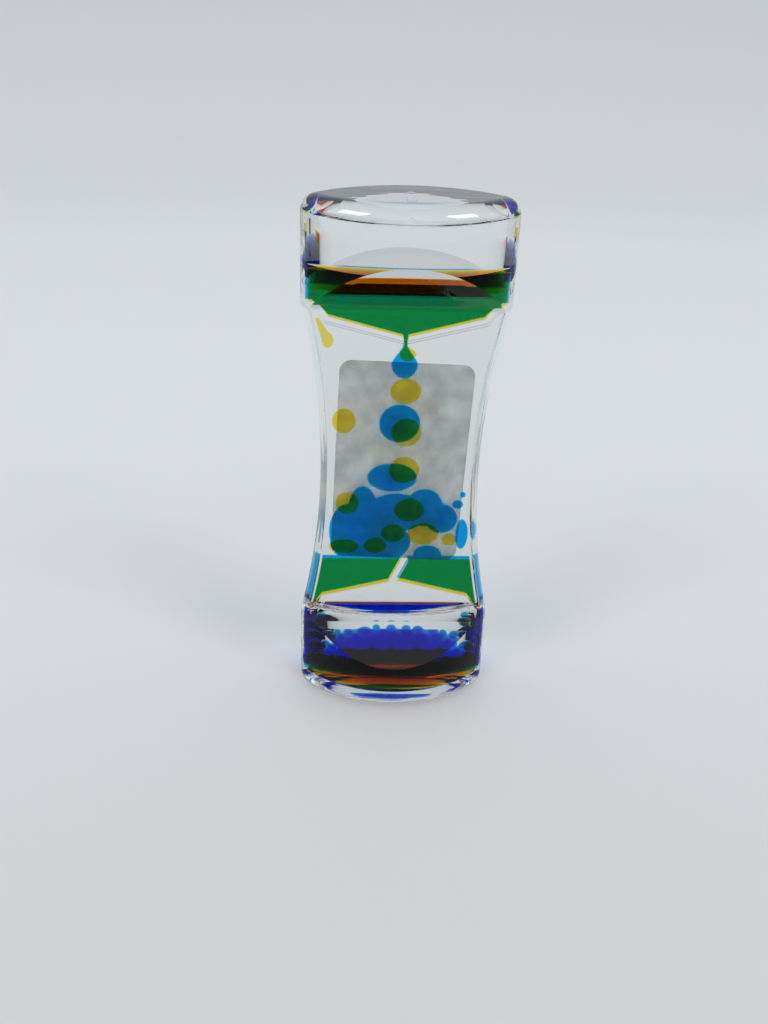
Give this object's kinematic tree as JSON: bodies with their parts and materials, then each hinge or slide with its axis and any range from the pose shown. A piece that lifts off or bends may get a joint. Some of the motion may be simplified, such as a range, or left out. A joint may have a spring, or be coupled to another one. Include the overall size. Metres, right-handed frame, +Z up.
{
  "type": "liquid motion timer",
  "caption": "Clear hourglass desk timer: coloured water drips from an upper cup through funnels and oil-filled slits in a flat panel into a lower cup; turns over to restart.",
  "frame": {"origin": "centre of the timer's footprint, on the table", "axes": "+Z up the timer's axis, +X across its width, -Y is the front, the yellow side"},
  "size_m": [0.05, 0.026, 0.135],
  "materials": {
    "clear_shell": "polished clear acrylic",
    "clear_strip": "clear acrylic strip",
    "fill_plug": "clear plug, glued",
    "label": "blank translucent label",
    "clear_oil": "clear oil",
    "yellow_water": "dyed water",
    "blue_water": "dyed water"
  },
  "bodies": {
    "timer": {"bottom_cap": "clear_shell", "front_fill_plug": "fill_plug", "front_landed_drop_1": "yellow_water", "front_landed_drop_2": "yellow_water", "front_landed_drop_3": "yellow_water", "front_landed_drop_4": "yellow_water", "front_landed_drop_5": "yellow_water", "front_landed_drop_6": "yellow_water", "front_landed_drop_7": "yellow_water", "front_middle_oil": "clear_oil", "front_roof_water": "yellow_water", "front_wall_run": "yellow_water", "lower_front_funnel": "clear_strip", "lower_front_oil": "clear_oil", "lower_front_water": "yellow_water", "lower_rear_funnel": "clear_strip", "lower_rear_oil": "clear_oil", "lower_rear_water": "blue_water", "rear_fill_plug": "fill_plug", "rear_heap": "blue_water", "rear_label": "label", "rear_middle_oil": "clear_oil", "rear_resting_drop": "blue_water", "rear_small_drop_1": "blue_water", "rear_small_drop_2": "blue_water", "top_cap": "clear_shell", "upper_front_funnel": "clear_strip", "upper_front_oil": "clear_oil", "upper_front_water": "yellow_water", "upper_rear_funnel": "clear_strip", "upper_rear_oil": "clear_oil", "upper_rear_water": "blue_water", "waist_body": "clear_shell"},
    "front_drop_1": {"front_drop_1": "yellow_water"},
    "front_drop_2": {"front_drop_2": "yellow_water"},
    "front_drop_3": {"front_drop_3": "yellow_water"},
    "front_stray_drop": {"front_stray_drop": "yellow_water"},
    "rear_drop_1": {"rear_drop_1": "blue_water"}
  },
  "joints": [
    {"name": "front_drop_1_fall", "type": "slide", "parent": "timer", "child": "front_drop_1", "axis": [0, 0, -1], "range_m": [-0.0032, 0.0039]},
    {"name": "front_drop_2_fall", "type": "slide", "parent": "timer", "child": "front_drop_2", "axis": [0, 0, -1], "range_m": [-0.0032, 0.0039]},
    {"name": "front_drop_3_fall", "type": "slide", "parent": "timer", "child": "front_drop_3", "axis": [0, 0, -1], "range_m": [-0.0032, 0.0039]},
    {"name": "front_stray_drop_fall", "type": "slide", "parent": "timer", "child": "front_stray_drop", "axis": [0, 0, -1], "range_m": [-0.0145, 0.0154]},
    {"name": "rear_drop_1_fall", "type": "slide", "parent": "timer", "child": "rear_drop_1", "axis": [0, 0, -1], "range_m": [-0.006, 0.0054]}
  ],
  "couplings": [
    {"joint": "front_drop_2_fall", "follows": "front_drop_1_fall", "ratio": 1},
    {"joint": "front_drop_3_fall", "follows": "front_drop_1_fall", "ratio": 1}
  ]
}
